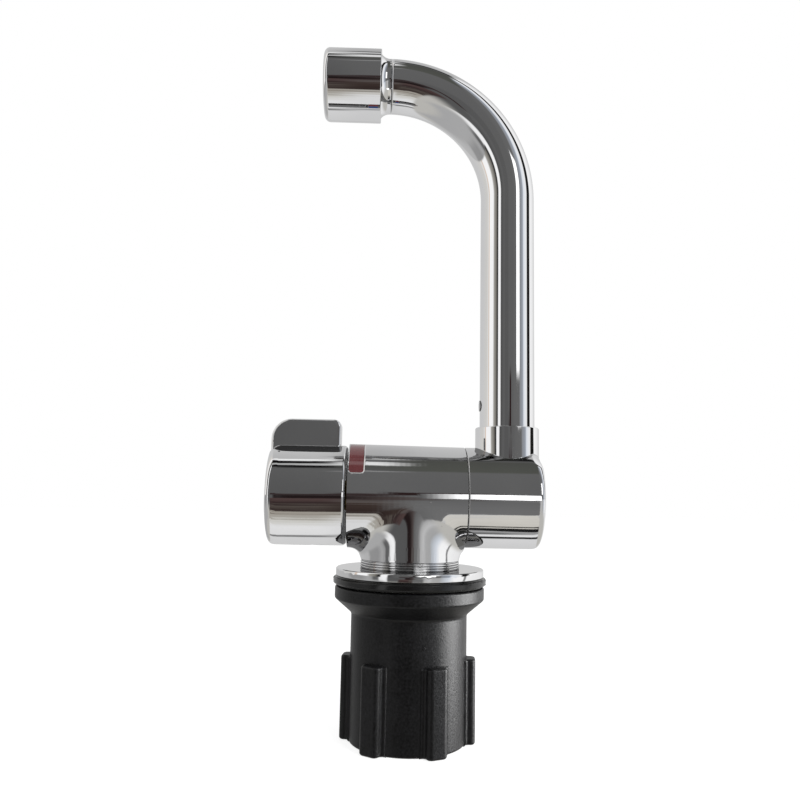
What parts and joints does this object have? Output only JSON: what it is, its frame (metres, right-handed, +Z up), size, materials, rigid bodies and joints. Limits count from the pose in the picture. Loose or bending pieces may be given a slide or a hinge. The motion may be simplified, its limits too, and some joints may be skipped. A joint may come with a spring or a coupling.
{
  "type": "folding caravan tap",
  "caption": "Folding mixer tap with a sideways barrel, a turning control knob, a fold-down swivelling spout and a hand nut under the counter.",
  "frame": {"origin": "centre of the counter seat, at the underside of the deck gasket on the shank's axis", "axes": "+Z up out of the counter; X along the barrel, from the control knob at -X to the fold hub at +X; the viewer of the picture stands at -Y"},
  "size_m": [0.0924, 0.0516, 0.2426],
  "materials": {
    "chrome": "polished plated brass",
    "brass": "turned",
    "rubber": "satin black",
    "nut_plastic": "black, finely grained",
    "inner_plastic": "natural white",
    "aerator_plastic": "grey",
    "ceramic": "lapped",
    "steel": "plain",
    "red_mark": "deep red resin",
    "blue_mark": "deep blue resin"
  },
  "bodies": {
    "base": {"tap_body": "chrome", "base_flange": "chrome", "threaded_shank": "brass", "inlet_block": "brass", "deck_gasket": "rubber", "inlet_seals": "rubber", "cartridge_housing": "inner_plastic", "cartridge_base": "inner_plastic", "port_seals": "rubber", "fixed_disc": "ceramic", "cartridge_nut": "brass", "hot_mark": "red_mark", "cold_mark": "blue_mark", "journal_screw": "steel"},
    "knob": {"control_knob": "chrome", "cartridge_spindle": "brass", "moving_disc": "ceramic", "knob_screw": "steel", "spindle_seal": "rubber"},
    "fold_arm": {"fold_hub": "chrome", "fold_journal": "brass", "journal_seals": "rubber", "friction_washer": "inner_plastic", "collar_screw": "steel"},
    "spout": {"spout_tube": "chrome", "spigot_insert": "brass", "spigot_seals": "rubber", "spout_screw": "steel", "nozzle_neck": "chrome", "aerator_housing": "chrome", "aerator_insert": "aerator_plastic", "aerator_screen": "steel", "aerator_washer": "rubber"},
    "washer": {"slip_washer": "inner_plastic"},
    "nut": {"mounting_nut": "nut_plastic"}
  },
  "joints": [
    {"name": "knob_turn", "type": "hinge", "parent": "base", "child": "knob", "pos_m": [-0.035, 0, 0.0296], "axis": [1, 0, 0], "range_deg": [-65, 65]},
    {"name": "spout_fold", "type": "hinge", "parent": "base", "child": "fold_arm", "pos_m": [0.0182, 0, 0.0296], "axis": [1, 0, 0], "range_deg": [-90, 90]},
    {"name": "spout_swivel", "type": "hinge", "parent": "fold_arm", "child": "spout", "pos_m": [0.0332, 0, 0.0405], "axis": [0, 0, 1], "continuous": true},
    {"name": "nut_travel", "type": "slide", "parent": "base", "child": "washer", "axis": [0, 0, -1], "range_m": [0, 0.025]},
    {"name": "nut_spin", "type": "hinge", "parent": "washer", "child": "nut", "pos_m": [0, 0, -0.02], "axis": [0, 0, -1], "range_deg": [0, 4500]}
  ],
  "couplings": [
    {"joint": "nut_travel", "follows": "nut_spin", "m_per_rad": 0.00031831}
  ]
}
